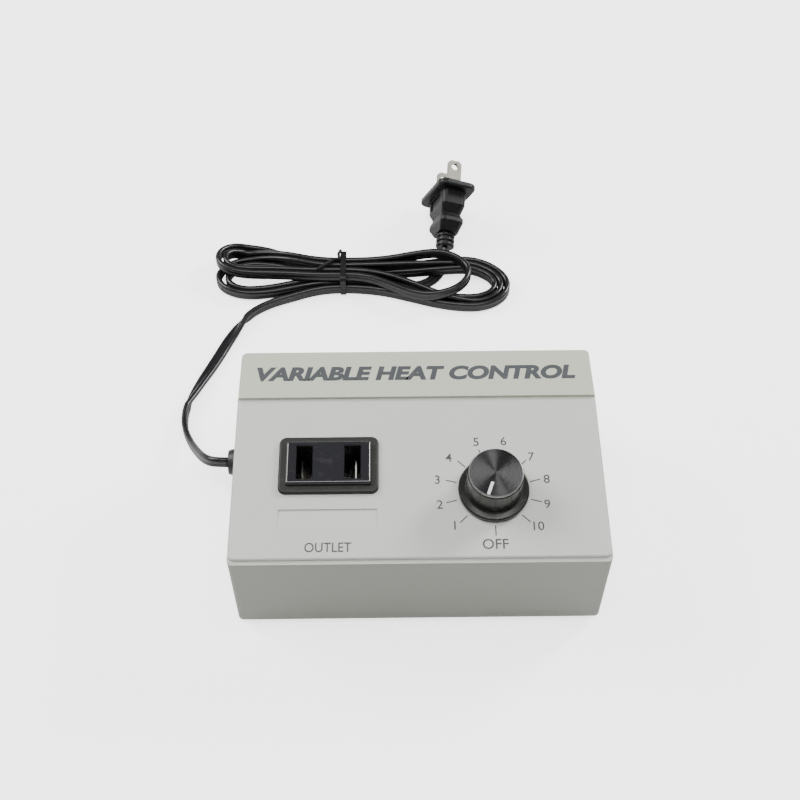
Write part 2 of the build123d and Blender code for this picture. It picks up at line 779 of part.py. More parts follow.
# Hank: the tied turns of the cord, as one solid of their outer shape, narrow where the tie holds them
waist_x, waist_near, waist_far = -29.5, 117.2, 133.2
hank_outline = [
    (waist_x, waist_near),
    (-8, 113.6),
    (10, 108.2),
    (26, 104.8),
    (38, 110.0),
    (44.4, 121),
    (38.5, 130.2),
    (27, 135.4),
    (15.3, 141.2),
    (3, 139.2),
    (-8, 137.8),
    (-18, 135.2),
    (waist_x, waist_far),
    (-42, 136.8),
    (-58, 141.8),
    (-73, 145.8),
    (-84.5, 142),
    (-87.8, 134),
    (-87.2, 123.5),
    (-80, 116.8),
    (-66, 113.6),
    (-48, 115.0),
]
hank_reach = 150.0  # further to the rear than any strand
hank_profile = [
    (-95, 0),
    (-95, hank_height),
    (-18, hank_height),
    (1, hump_height),
    (16, hump_height),
    (27, 10.6),
    (38, 6.0),
    (50, 5.2),
    (50, 0),
]
with BuildPart() as cord_hank:
    with BuildSketch(Plane.XY):
        with BuildLine():
            Spline(*hank_outline, periodic=True)
        make_face()
    extrude(amount=hump_height)
    with BuildSketch(Plane.XZ):
        with BuildLine():
            Polyline(*hank_profile, close=True)
        make_face()
    extrude(amount=-hank_reach, mode=Mode.INTERSECT)
write(cord_hank, "cord_hank")

# Twist tie: a flat band round the hank's waist, and its two ends, which part from the twist on top
tie_width, tie_thickness, tie_gap = 2.4, 0.8, 0.3
tie_end_radius = 0.65
tie_half = (waist_far - waist_near) / 2 + tie_gap
tie_middle = (waist_far + waist_near) / 2
tie_top = hank_height + tie_gap + tie_thickness
with BuildPart() as twist_tie:
    with BuildSketch(Plane.YZ.offset(waist_x - tie_width / 2)):
        with Locations((tie_middle, tie_top / 2)):
            RectangleRounded(2 * (tie_half + tie_thickness), tie_top, 2.2)
        with Locations((tie_middle, (hank_height + tie_gap) / 2)):
            Rectangle(2 * tie_half, hank_height + tie_gap, mode=Mode.SUBTRACT)
    extrude(amount=tie_width)
    twist = (waist_x - 1.5, tie_middle + 3.4, tie_top - 0.1)
    short_end = [(waist_x - 2.2, tie_middle + 5.6, tie_top + 0.4), (waist_x - 1.2, tie_middle + 8.4, tie_top)]
    long_end = [(waist_x - 4, tie_middle + 2.2, tie_top + 0.6), (waist_x - 11, tie_middle - 3, tie_top + 0.2)]
    for end in ([twist, *short_end], [twist, *long_end]):
        with BuildLine() as tail:
            FilletPolyline(*end, radius=2)
        with BuildSketch(Plane(origin=tail.line @ 0, z_dir=tail.line % 0)) as wire_section:
            Circle(tie_end_radius)
        sweep(wire_section.sketch, path=tail.line)
write(twist_tie, "twist_tie")

# Plug: its own plane has z along the blades and x along the flange's long side
turn_angle, lift = radians(plug_turn), radians(plug_lift)
along = Vector(sin(turn_angle) * cos(lift), cos(turn_angle) * cos(lift), sin(lift))
level = along.cross(Vector(0, 0, 1)).normalized()
plug_plane = Plane(origin=plug_origin, x_dir=level.rotate(Axis((0, 0, 0), along), -plug_roll), z_dir=along)


def plug_at(distance):
    return plug_plane.offset(distance)


# The grip behind the flange: distance along the plug, length and width of each section
plug_axis = Axis(plug_origin, along)
plug_sections = [
    (-flange_thickness / 2, 19.0, 11.4),
    (-8.0, 18.4, 11.0),
    (-11.8, 13.8, 8.9),
    (-14.4, 17.0, 10.8),
    (-16.0, 17.0, 10.8),
    (relief_start, 10.6, 8.8),
]
ring_rise, ring_pitch = 0.7, 2.2
thumb_rest = -5.2  # distance along the plug of the middle of the shallow panel on each broad side
with BuildPart() as plug_body:
    with BuildSketch(plug_at(-flange_thickness / 2)):
        RectangleRounded(flange_length, flange_width, 3.5)
    extrude(amount=flange_thickness)
    flange_faces = plug_body.faces().sort_by(plug_axis)
    fillet(flange_faces[0].edges() + flange_faces[-1].edges(), 0.8)
    for distance, length, width in plug_sections:
        with BuildSketch(plug_at(distance)):
            RectangleRounded(length, width, 2.2)
    loft(ruled=True)
    with BuildSketch(plug_at(relief_end)):
        Circle(relief_radius - ring_rise)
    extrude(amount=relief_start + 0.3 - relief_end)
    for ring in range(3):
        with BuildSketch(plug_at(relief_end + 0.4 + ring_pitch * ring)):
            Circle(relief_radius)
        extrude(amount=ring_pitch / 2)
    for side in (-1, 1):
        panel_middle = plug_plane.from_local_coords(Vector(0, side * 5.6, thumb_rest))
        with BuildSketch(Plane(origin=panel_middle, x_dir=plug_plane.x_dir, z_dir=plug_plane.y_dir)):
            RectangleRounded(11.5, 5.0, 1.2)
        extrude(amount=0.65, both=True, mode=Mode.SUBTRACT)
    with BuildSketch(plug_at(-5)):
        with Locations((-blade_pitch / 2, 0), (blade_pitch / 2, 0)):
            Rectangle(blade_thickness, blade_width)
    extrude(amount=12, mode=Mode.SUBTRACT)
write(plug_body, "plug_body")

with BuildPart() as plug_blades:
    with BuildSketch(plug_at(-5)):
        with Locations((-blade_pitch / 2, 0), (blade_pitch / 2, 0)):
            Rectangle(blade_thickness, blade_width)
    extrude(amount=5 + flange_thickness / 2 + blade_reach)
    tips = plug_blades.edges().filter_by(Axis(plug_origin, plug_plane.x_dir)).sort_by(plug_axis)[-4:]
    chamfer(tips, 1.2)
    tip_hole_radius = 1.6
    tip_hole_place = flange_thickness / 2 + blade_reach - 3.0
    for side in (-1, 1):
        tip_hole = Plane(
            origin=plug_plane.from_local_coords(Vector(side * blade_pitch / 2, 0, tip_hole_place)),
            z_dir=plug_plane.x_dir,
        )
        with BuildSketch(tip_hole):
            Circle(tip_hole_radius)
        extrude(amount=2, both=True, mode=Mode.SUBTRACT)
write(plug_blades, "plug_blades")
print("blade tips at", plug_plane.from_local_coords(Vector(0, 0, flange_thickness / 2 + blade_reach)))
print("plug flange lowest", plug_body.part.bounding_box().min.Z)
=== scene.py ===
"""Bench heat control for a soldering iron, with its flat mains cord tied in a hank behind it.

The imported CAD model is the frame: every place here comes from its boxes, or repeats a named size of the design.
Lengths are in metres, +X to the right, +Y to the rear and +Z up, with the case standing on z = 0.
"""

from math import acos, cos, pi, radians, sin

import bmesh
import bpy
from mathutils import Matrix, Vector


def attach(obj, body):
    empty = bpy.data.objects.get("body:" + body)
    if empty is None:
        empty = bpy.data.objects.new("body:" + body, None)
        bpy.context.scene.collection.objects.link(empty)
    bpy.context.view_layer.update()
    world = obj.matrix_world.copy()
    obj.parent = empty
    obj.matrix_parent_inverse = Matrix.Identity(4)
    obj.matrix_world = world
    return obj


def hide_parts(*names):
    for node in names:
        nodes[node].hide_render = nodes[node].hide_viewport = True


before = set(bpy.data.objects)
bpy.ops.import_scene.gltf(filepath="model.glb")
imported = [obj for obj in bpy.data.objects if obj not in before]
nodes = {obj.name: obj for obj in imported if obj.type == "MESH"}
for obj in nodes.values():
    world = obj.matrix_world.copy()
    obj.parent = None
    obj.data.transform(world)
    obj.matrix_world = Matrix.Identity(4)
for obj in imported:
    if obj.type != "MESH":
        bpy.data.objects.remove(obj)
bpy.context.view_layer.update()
mm = 0.001


# ---- Camera, floor and light -------------------------------------------------------------------------------
# The camera looks down at the case from the front. One soft box hangs above it and one stands high on each side,
# over a pale floor, so that upright walls are darker than what faces up and polished faces stay dark.
def aim(thing, target, roll=0.0):
    """Points a camera or a lamp at a place, turned by roll about its own line of sight."""
    direction = Vector(target) - thing.location
    turned = direction.to_track_quat("-Z", "Y").to_matrix() @ Matrix.Rotation(roll, 3, "Z")
    thing.rotation_euler = turned.to_euler()


camera_data = bpy.data.cameras.new("camera")
camera_data.lens = 53.65
camera_data.sensor_width = 36.0
camera_data.clip_start = 0.01
camera = bpy.data.objects.new("camera", camera_data)
bpy.context.scene.collection.objects.link(camera)
camera.location = (-0.0081, -0.2442, 0.3775)
aim(camera, (-0.0056, 0.0566, 0.002), roll=radians(-0.2))
bpy.context.scene.camera = camera


def lamp(name, place, size, power):
    """A soft box of a size (width, depth) that faces the middle of the case."""
    data = bpy.data.lights.new(name, "AREA")
    data.shape = "RECTANGLE"
    data.size, data.size_y = size
    data.energy = power
    thing = bpy.data.objects.new(name, data)
    bpy.context.scene.collection.objects.link(thing)
    thing.location = place
    aim(thing, (0, 0.05, 0))


lamp("top_light", (0.0, -0.12, 1.1), (0.9, 0.4), 9.0)
lamp("left_light", (-0.85, 0.38, 0.75), (0.6, 0.6), 12.0)
lamp("right_light", (0.85, 0.6, 0.65), (0.3, 0.3), 12.0)

world = bpy.data.worlds.new("studio")
world.use_nodes = True
world.node_tree.nodes["Background"].inputs["Color"].default_value = (1, 1, 1, 1)
world.node_tree.nodes["Background"].inputs["Strength"].default_value = 0.2
bpy.context.scene.world = world

floor_mesh = bpy.data.meshes.new("floor")
floor_mesh.from_pydata([(-3, -3, 0), (3, -3, 0), (3, 3, 0), (-3, 3, 0)], [], [(0, 1, 2, 3)])
floor = bpy.data.objects.new("floor", floor_mesh)
bpy.context.scene.collection.objects.link(floor)
floor.location = (0, 0, -0.0002)
floor_paint = bpy.data.materials.new("floor")
floor_paint.use_nodes = True
floor_shader = floor_paint.node_tree.nodes["Principled BSDF"]
floor_shader.inputs["Base Color"].default_value = (0.95, 0.95, 0.95, 1)
floor_shader.inputs["Roughness"].default_value = 0.9
floor_shader.inputs["Specular IOR Level"].default_value = 0.1
floor_shader.inputs["Emission Color"].default_value = (1, 1, 1, 1)
glow = floor_paint.node_tree.nodes.new("ShaderNodeMath")
glow.operation = "MULTIPLY"
glow.inputs[1].default_value = 2.2
seen = floor_paint.node_tree.nodes.new("ShaderNodeLightPath")
floor_paint.node_tree.links.new(seen.outputs["Is Camera Ray"], glow.inputs[0])
floor_paint.node_tree.links.new(glow.outputs["Value"], floor_shader.inputs["Emission Strength"])
floor_mesh.materials.append(floor_paint)


# ---- Cord --------------------------------------------------------------------------------------------------
# A flat twin cord: its lead bends down from the bushing and crosses the floor to a hank of four turns held by a
# tie, and its tail passes flat under the hank's far side and up into the plug.
cord_width, cord_thickness = 4.9 * mm, 2.45 * mm
cord_rest = cord_width / 2  # height of the cord's middle where it stands on edge
cord_flat = cord_thickness / 2  # and where it lies flat
upper = 3 * cord_rest  # height of a strand's middle where it stands on another strand
cord_exit = (-0.0694, 0.015, 0.018)

lead_route = [
    cord_exit,
    (-0.0746, 0.015, 0.018),
    (-0.0788, 0.0182, 0.0154),
    (-0.0826, 0.0242, 0.0112),
    (-0.087, 0.0326, 0.0064),
    (-0.091, 0.0426, 0.0031),
    (-0.0915, 0.053, 0.0026),
    (-0.0878, 0.0645, 0.0018),
    (-0.082, 0.078, cord_flat),
    (-0.0768, 0.0915, cord_flat),
    (-0.0704, 0.103, 0.0027),
    (-0.0615, 0.11, cord_rest),
    (-0.051, 0.114, cord_rest),
    (-0.0425, 0.1172, cord_rest),
]

# Where the strands pass through the tie: five stand on the floor and four on top of them
waist_x, waist_half = -0.0295, 0.005
slot_pitch = 0.0029
lower_slots = [(0.1186 + slot_pitch * k, cord_rest) for k in range(5)]
upper_slots = [(0.1213 + slot_pitch * k, upper) for k in range(4)]


def eased(t):
    """Runs from 0 to 1 with a level start and a level end."""
    return (1 - cos(pi * t)) / 2


def lobe(start, first, end, second, finish):
    """Control points of one loop, from one place in the waist out round its end and back to another.

    start and finish are (y, z) in the waist. first and second are the loop's widest points on its way out and on
    its way back, and end is its far end, each (x, y, z). The strand leaves the tie at its own height for longer
    than it keeps its place, and is back at its height early, so that it rides over its neighbours.
    """
    side = 1 if end[0] > waist_x else -1
    mouth = waist_x + side * waist_half
    points = [Vector((mouth, *start))]
    for t in (0.25, 0.5, 0.75, 1.0):
        y = start[0] + (first[1] - start[0]) * eased(t)
        z = start[1] + (first[2] - start[1]) * eased(t**2)
        points.append(Vector((mouth + (first[0] - mouth) * t, y, z)))
    for near, angles in ((first, (30, 60, 90)), (second, (60, 30, 0))):
        for angle in angles:
            a, b = sin(radians(angle)), cos(radians(angle))
            x = near[0] + (end[0] - near[0]) * a
            y = end[1] + (near[1] - end[1]) * b
            points.append(Vector((x, y, near[2] + (end[2] - near[2]) * a)))
    for t in (0.25, 0.5, 0.75, 1.0):
        y = second[1] + (finish[0] - second[1]) * eased(t)
        z = second[2] + (finish[1] - second[2]) * eased(1 - (1 - t) ** 1.6)
        points.append(Vector((second[0] + (mouth - second[0]) * t, y, z)))
    return points


over_tail = 0.0056  # height of the strands' middle where the tail lies flat under them
right_lobes = [
    ((0.026, 0.1066, cord_rest), (0.0424, 0.1195, cord_rest), (0.025, 0.1322, over_tail)),
    ((0.008, 0.109, upper), (0.0253, 0.1215, 0.0088), (0.0115, 0.1318, 0.0109)),
    ((0.026, 0.1092, cord_rest), (0.0396, 0.1196, cord_rest), (0.0245, 0.1296, over_tail)),
    ((0.025, 0.1118, cord_rest), (0.0368, 0.1197, cord_rest), (0.0245, 0.127, over_tail)),
]
left_lobes = [
    ((-0.072, 0.1438, cord_rest), (-0.085, 0.1332, upper), (-0.0705, 0.1236, 0.0068)),
    ((-0.0725, 0.1396, cord_rest), (-0.0816, 0.1328, upper), (-0.0725, 0.1263, 0.0068)),
    ((-0.07, 0.1362, cord_rest), (-0.0848, 0.1258, cord_rest), (-0.0695, 0.1152, cord_rest)),
    ((-0.069, 0.1332, cord_rest), (-0.0805, 0.1252, cord_rest), (-0.07, 0.1178, cord_rest)),
]
crossings = [
    lower_slots[0],
    lower_slots[4],
    upper_slots[0],
    upper_slots[3],
    upper_slots[1],
    upper_slots[2],
    lower_slots[1],
    lower_slots[3],
    lower_slots[2],
]
hank_route = [Vector((waist_x - waist_half, *crossings[0]))]
for turn, (right, left) in enumerate(zip(right_lobes, left_lobes)):
    hank_route += lobe(crossings[2 * turn], *right, crossings[2 * turn + 1])
    hank_route += lobe(crossings[2 * turn + 1], *left, crossings[2 * turn + 2])

tail_route = [
    (-0.0245, 0.1244, cord_rest),
    (-0.014, 0.1240, cord_rest),
    (-0.005, 0.1216, 0.0021),
    (0.003, 0.1208, cord_flat),
    (0.0092, 0.1240, cord_flat),
    (0.0128, 0.1292, cord_flat),
    (0.0142, 0.1338, 0.0019),
    (0.01495, 0.1374, 0.0036),
    (0.0153, 0.1407, 0.00518),
]
route = [Vector(p) for p in lead_route] + hank_route + [Vector(p) for p in tail_route]


def smooth_line(name, points, resolution):
    """The points of an open NURBS spline through a route, in order, from the curve with no thickness."""
    curve = bpy.data.curves.new(name, "CURVE")
    curve.dimensions = "3D"
    curve.resolution_u = resolution
    spline = curve.splines.new("NURBS")
    spline.points.add(len(points) - 1)
    for point, place in zip(spline.points, points):
        point.co = (*place, 1)
    spline.order_u = 3
    spline.use_endpoint_u = True
    carrier = bpy.data.objects.new(name, curve)
    bpy.context.scene.collection.objects.link(carrier)
    bpy.context.view_layer.update()
    line = bpy.data.meshes.new_from_object(carrier.evaluated_get(bpy.context.evaluated_depsgraph_get()))
    places = [v.co.copy() for v in line.vertices]
    bpy.data.objects.remove(carrier)
    bpy.data.curves.remove(curve)
    bpy.data.meshes.remove(line)
    return places


def cord_section(radius, offset, steps=8, neck=50):
    """Outline of the twin cord across its run: two round conductors with a groove between them."""
    outline = []
    for side in (1, -1):
        for step in range(steps + 1):
            angle = radians((-neck if side == 1 else 180 - neck) + (180 + 2 * neck) * step / steps)
            outline.append((radius * cos(angle), side * offset + radius * sin(angle)))
    return outline


def lying_over(height):
    """How far the cord leans from standing on edge, in radians, for its middle to be at a height above the floor."""
    return acos(min(max((height - cord_flat) / (cord_rest - cord_flat), 0), 1))


def swept_tube(name, line, section, lean):
    """A closed mesh tube of one section along a line, with the section's second axis upright but for its lean."""
    mesh = bpy.data.meshes.new(name)
    verts, faces = [], []
    count = len(section)
    last = len(line) - 1
    for k, place in enumerate(line):
        along = (line[min(k + 1, last)] - line[max(k - 1, 0)]).normalized()
        level = along.cross(Vector((0, 0, 1))).normalized()
        upright = level.cross(along)
        angle = lean(place.z)
        wide = upright * cos(angle) + level * sin(angle)
        thin = wide.cross(along)
        verts += [place + thin * a + wide * b for a, b in section]
    for k in range(last):
        for j in range(count):
            a, b = k * count + j, k * count + (j + 1) % count
            faces.append((a, b, b + count, a + count))
    faces.append(tuple(range(count)))
    faces.append(tuple(reversed(range(last * count, len(line) * count))))
    mesh.from_pydata(verts, [], faces)
    mesh.polygons.foreach_set("use_smooth", [True] * len(mesh.polygons))
    thing = bpy.data.objects.new(name, mesh)
    bpy.context.scene.collection.objects.link(thing)
    outward_faces(mesh)
    return thing


def outward_faces(mesh):
    """Merges a mesh's doubled points and turns its faces outwards."""
    shape = bmesh.new()
    shape.from_mesh(mesh)
    bmesh.ops.remove_doubles(shape, verts=shape.verts, dist=1e-6)
    bmesh.ops.recalc_face_normals(shape, faces=shape.faces)
    shape.to_mesh(mesh)
    shape.free()


cord_line = smooth_line("cord_line", route, 8)
section = cord_section(cord_thickness / 2, (cord_width - cord_thickness) / 2)
cord = swept_tube("mains_cord", cord_line, section, lying_over)
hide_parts("cord_lead", "cord_hank")
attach(cord, "case")


def effect_group(name, numbers, outputs):
    """A shader node group with named number inputs and outputs, and its own Object coordinates."""
    tree = bpy.data.node_groups.new(name, "ShaderNodeTree")
    for label, value in numbers:
        made = tree.interface.new_socket(label, in_out="INPUT", socket_type="NodeSocketFloat")
        made.default_value = value
    for label in outputs:
        tree.interface.new_socket(label, in_out="OUTPUT", socket_type="NodeSocketFloat")
    places = tree.nodes.new("ShaderNodeTexCoord").outputs["Object"]
    return tree, tree.nodes.new("NodeGroupInput").outputs, tree.nodes.new("NodeGroupOutput").inputs, places


def noise(tree, places, scale, detail, roughness=0.5):
    """The factor of a noise texture whose scale is a socket or a number."""
    made = tree.nodes.new("ShaderNodeTexNoise")
    tree.links.new(places, made.inputs["Vector"])
    made.inputs["Detail"].default_value = detail
    made.inputs["Roughness"].default_value = roughness
    if isinstance(scale, (int, float)):
        made.inputs["Scale"].default_value = scale
    else:
        tree.links.new(scale, made.inputs["Scale"])
    return made.outputs["Fac"]


def spread(tree, value, low, high, to_low=0.0, to_high=1.0):
    """Maps a value from one range to another, held at its ends."""
    made = tree.nodes.new("ShaderNodeMapRange")
    tree.links.new(value, made.inputs["Value"])
    for label, number in (("From Min", low), ("From Max", high), ("To Min", to_low), ("To Max", to_high)):
        made.inputs[label].default_value = number
    return made.outputs["Result"]


# Moulded skin: the fine grain of a mould's surface, slow changes of tone, and the faint rubs of handling
skin, skin_in, skin_out, skin_places = effect_group(
    "moulded_skin", [("Grain Scale", 4000.0), ("Tone Scale", 30.0), ("Rub Scale", 260.0)], ["Grain", "Tone", "Rubs"]
)
skin.links.new(noise(skin, skin_places, skin_in["Grain Scale"], 3.0, 0.6), skin_out["Grain"])
skin.links.new(spread(skin, noise(skin, skin_places, skin_in["Tone Scale"], 2.0), 0.3, 0.7), skin_out["Tone"])
rub_noise = noise(skin, skin_places, skin_in["Rub Scale"], 6.0, 0.65)
skin.links.new(spread(skin, rub_noise, 0.56, 0.74), skin_out["Rubs"])


def two_tones(tree, factor, first, second):
    """A colour between two, by a factor."""
    mix = tree.nodes.new("ShaderNodeMix")
    mix.data_type = "RGBA"
    tree.links.new(factor, mix.inputs["Factor"])
    colour_sockets = [s for s in mix.inputs if s.type == "RGBA"]
    for socket, value in zip(colour_sockets, (first, second)):
        if isinstance(value, tuple):
            socket.default_value = (*value, 1)
        else:
            tree.links.new(value, socket)
    return next(s for s in mix.outputs if s.type == "RGBA")


def shade(colour, factor):
    return tuple(min(c * factor, 1.0) for c in colour)


def moulded(name, colour, roughness, grain=4000.0, depth=0.008, tone=0.04, coat=0.0, specular=0.5):
    """A moulded plastic or rubber: its colour drifts by the share tone, and grain is depth millimetres deep."""
    material = bpy.data.materials.new(name)
    material.use_nodes = True
    tree = material.node_tree
    shader = tree.nodes["Principled BSDF"]
    effect = tree.nodes.new("ShaderNodeGroup")
    effect.node_tree = skin
    effect.inputs["Grain Scale"].default_value = grain
    plain = two_tones(tree, effect.outputs["Tone"], shade(colour, 1 - tone), shade(colour, 1 + tone))
    rubbed = tuple(c + (0.5 - c) * 0.04 for c in colour)
    tree.links.new(two_tones(tree, effect.outputs["Rubs"], plain, rubbed), shader.inputs["Base Color"])
    rough = spread(tree, effect.outputs["Rubs"], 0, 1, roughness, min(roughness * 1.25 + 0.03, 1))
    tree.links.new(rough, shader.inputs["Roughness"])
    bump = tree.nodes.new("ShaderNodeBump")
    bump.inputs["Strength"].default_value = 0.6
    bump.inputs["Distance"].default_value = depth * mm
    tree.links.new(effect.outputs["Grain"], bump.inputs["Height"])
    tree.links.new(bump.outputs["Normal"], shader.inputs["Normal"])
    shader.inputs["Specular IOR Level"].default_value = specular
    shader.inputs["Coat Weight"].default_value = coat
    shader.inputs["Coat Roughness"].default_value = 0.08
    return material


def dress(material, *names):
    """Gives CAD nodes a material in place of the plain one they come with."""
    for name in names:
        for place in nodes[name].material_slots:
            place.material = material


cord_vinyl = moulded("cord_vinyl", (0.007, 0.007, 0.008), 0.3, grain=1400.0, depth=0.03, tone=0.15)
cord.data.materials.append(cord_vinyl)
dress(moulded("cord_jacket", (0.012, 0.012, 0.013), 0.4, tone=0.1), "cord_inner", "cord_lead", "cord_hank")


# ---- Twist tie ---------------------------------------------------------------------------------------------
# A flat strip of black film over two thin wires, wrapped round the waist of the hank. Its ends are twisted once
# and lie apart on top of the cord.
dress(moulded("tie_film", (0.006, 0.006, 0.0065), 0.45, grain=900.0, depth=0.05, tone=0.2, specular=0.3), "twist_tie")


# ---- Plug --------------------------------------------------------------------------------------------------
# A one-piece vinyl plug moulded over the cord's end and the roots of two nickel-plated brass blades, with a
# flange to pull on, a waisted grip and rings that let the relief bend.
dress(moulded("plug_vinyl", (0.006, 0.006, 0.0065), 0.4, grain=2200.0, depth=0.02, tone=0.1, specular=0.3), "plug_body")

# Drawn metal: long fine scratches along one way and a soft uneven sheen
drawn, drawn_in, drawn_out, drawn_places = effect_group(
    "drawn_metal", [("Length Scale", 60.0), ("Line Scale", 2600.0)], ["Lines", "Sheen"]
)
drawn_axes = drawn.nodes.new("ShaderNodeSeparateXYZ")
drawn.links.new(drawn_places, drawn_axes.inputs["Vector"])
drawn_stretch = drawn.nodes.new("ShaderNodeCombineXYZ")
for axis, socket in (("X", "Line Scale"), ("Y", "Length Scale"), ("Z", "Line Scale")):
    scaled = drawn.nodes.new("ShaderNodeMath")
    scaled.operation = "MULTIPLY"
    drawn.links.new(drawn_axes.outputs[axis], scaled.inputs[0])
    drawn.links.new(drawn_in[socket], scaled.inputs[1])
    drawn.links.new(scaled.outputs["Value"], drawn_stretch.inputs[axis])
drawn.links.new(noise(drawn, drawn_stretch.outputs["Vector"], 1.0, 2.0), drawn_out["Lines"])
drawn.links.new(spread(drawn, noise(drawn, drawn_places, 180.0, 3.0), 0.3, 0.7), drawn_out["Sheen"])


def bare_metal(name, colour, roughness, line_scale=2600.0, depth=0.004, tarnish=0.12):
    """A metal with drawn lines: its colour darkens by the share tarnish where its sheen is low."""
    material = bpy.data.materials.new(name)
    material.use_nodes = True
    tree = material.node_tree
    shader = tree.nodes["Principled BSDF"]
    shader.inputs["Metallic"].default_value = 1.0
    effect = tree.nodes.new("ShaderNodeGroup")
    effect.node_tree = drawn
    effect.inputs["Line Scale"].default_value = line_scale
    toned = two_tones(tree, effect.outputs["Sheen"], shade(colour, 1 - tarnish), colour)
    tree.links.new(toned, shader.inputs["Base Color"])
    rough = spread(tree, effect.outputs["Lines"], 0.2, 0.8, roughness * 0.8, roughness * 1.3)
    tree.links.new(rough, shader.inputs["Roughness"])
    bump = tree.nodes.new("ShaderNodeBump")
    bump.inputs["Strength"].default_value = 0.5
    bump.inputs["Distance"].default_value = depth * mm
    tree.links.new(effect.outputs["Lines"], bump.inputs["Height"])
    tree.links.new(bump.outputs["Normal"], shader.inputs["Normal"])
    return material


dress(bare_metal("nickel_plate", (0.27, 0.26, 0.22), 0.3, tarnish=0.3), "plug_blades")


# ---- Case --------------------------------------------------------------------------------------------------
# A lower shell and a top cover moulded in warm grey plastic with a fine matt grain. The cover's raised band at
# the rear is a touch warmer. The shell carries painted light and shade: its upright walls are painted a darker grey
# as shade, and its faces that look up are painted the cover's paler grey as light from above. The cover fits inside
# the shell's rim and is held by four screws from below.
# The first grey is painted shade for the shell's upright walls; the panel grey is the plastic's own colour.
painted_wall_shade_grey, panel_grey, band_grey = (0.36, 0.365, 0.325), (0.58, 0.59, 0.55), (0.53, 0.54, 0.455)
band_front = 20.3 * mm
case_plastic = moulded("case_plastic", painted_wall_shade_grey, 0.55, grain=5200.0, depth=0.012, tone=0.012)
case_tree = case_plastic.node_tree
case_base = case_tree.nodes["Principled BSDF"].inputs["Base Color"]
case_axes = case_tree.nodes.new("ShaderNodeSeparateXYZ")
case_tree.links.new(case_tree.nodes.new("ShaderNodeNewGeometry").outputs["Normal"], case_axes.inputs["Vector"])
# Painted light: faces whose normal points up are painted the paler panel grey, upright walls keep the painted shade.
painted_light_on_top_faces = spread(case_tree, case_axes.outputs["Z"], 0.3, 0.8)
case_tree.links.new(two_tones(case_tree, painted_light_on_top_faces, case_base.links[0].from_socket, panel_grey), case_base)
dress(case_plastic, "lower_case")

cover_plastic = moulded("cover_plastic", panel_grey, 0.5, grain=5200.0, depth=0.012, tone=0.012)
cover_tree = cover_plastic.node_tree
cover_base = cover_tree.nodes["Principled BSDF"].inputs["Base Color"]
cover_places = cover_tree.nodes.new("ShaderNodeTexCoord")
cover_axes = cover_tree.nodes.new("ShaderNodeSeparateXYZ")
cover_tree.links.new(cover_places.outputs["Object"], cover_axes.inputs["Vector"])
on_band = spread(cover_tree, cover_axes.outputs["Y"], band_front - 1 * mm, band_front)
cover_tree.links.new(two_tones(cover_tree, on_band, cover_base.links[0].from_socket, band_grey), cover_base)
dress(cover_plastic, "top_cover")


# ---- Print on the panel ------------------------------------------------------------------------------------
# Grey ink screened on the cover: a title along the band, the outlet's word, and the dial's ticks, numbers and OFF.
# Each stands up by the ink's thickness.
panel_slope = radians(7.0)
panel_origin = Vector((0, -42 * mm, 40.6 * mm))
panel_up = Vector((0, cos(panel_slope), sin(panel_slope)))
panel_normal = Vector((0, -sin(panel_slope), cos(panel_slope)))
band_height = 49.3 * mm
ink_top, ink_root = 0.035 * mm, -0.01 * mm
dial_x, dial_v = 25.3, 25.6


def on_plane(x, v, origin, up, normal):
    """A matrix that carries a flat drawing to the place (x, v), in millimetres, on a plane of the case."""
    place = origin + Vector((x * mm, 0, 0)) + up * (v * mm)
    across = Vector((1, 0, 0))
    turned = Matrix((across, up, normal)).transposed().to_4x4()
    return Matrix.Translation(place) @ turned


def on_panel(x, v):
    return on_plane(x, v, panel_origin, panel_up, panel_normal)


def on_band_top(x, v):
    return on_plane(x, v, Vector((0, 0, band_height)), Vector((0, 1, 0)), Vector((0, 0, 1)))


def add_word(shape, word, place, height, width=None, weight=0.0, slant=0.0):
    """Adds a word of printed letters to a bmesh, centred on a place, with its capitals height millimetres tall."""
    text = bpy.data.curves.new(word, "FONT")
    text.body = word
    text.extrude = 0.5
    text.offset = weight
    text.shear = slant
    text.resolution_u = 4
    carrier = bpy.data.objects.new(word, text)
    bpy.context.scene.collection.objects.link(carrier)
    bpy.context.view_layer.update()
    letters = bpy.data.meshes.new_from_object(carrier.evaluated_get(bpy.context.evaluated_depsgraph_get()))
    bpy.data.objects.remove(carrier)
    bpy.data.curves.remove(text)
    outward_faces(letters)
    low = [min(v.co[k] for v in letters.vertices) for k in range(2)]
    high = [max(v.co[k] for v in letters.vertices) for k in range(2)]
    tall = height * mm / (high[1] - low[1])
    wide = width * mm / (high[0] - low[0]) if width else tall
    for v in letters.vertices:
        x = (v.co.x - (low[0] + high[0]) / 2) * wide
        y = (v.co.y - (low[1] + high[1]) / 2) * tall
        v.co = place @ Vector((x, y, ink_top if v.co.z > 0 else ink_root))
    shape.from_mesh(letters)
    bpy.data.meshes.remove(letters)


def printed_piece(name, shape, ink):
    """Makes a bmesh of ink into a piece that rides on the case."""
    mesh = bpy.data.meshes.new(name)
    shape.to_mesh(mesh)
    shape.free()
    mesh.materials.append(ink)
    piece = bpy.data.objects.new(name, mesh)
    bpy.context.scene.collection.objects.link(piece)
    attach(piece, "case")
    return piece


title_ink = moulded("title_ink", (0.06, 0.065, 0.07), 0.6, grain=9000.0, depth=0.004, tone=0.05)
dial_ink = moulded("dial_ink", (0.06, 0.065, 0.062), 0.6, grain=9000.0, depth=0.004, tone=0.05)

title = bmesh.new()
add_word(title, "VARIABLE HEAT CONTROL", on_band_top(-0.1, 31.1), 6.6, width=114.4, weight=0.052, slant=0.2)
printed_piece("title_print", title, title_ink)

outlet_word = bmesh.new()
add_word(outlet_word, "OUTLET", on_panel(-30.3, 5.4), 3.5, width=15.5, weight=0.008)
printed_piece("outlet_print", outlet_word, dial_ink)

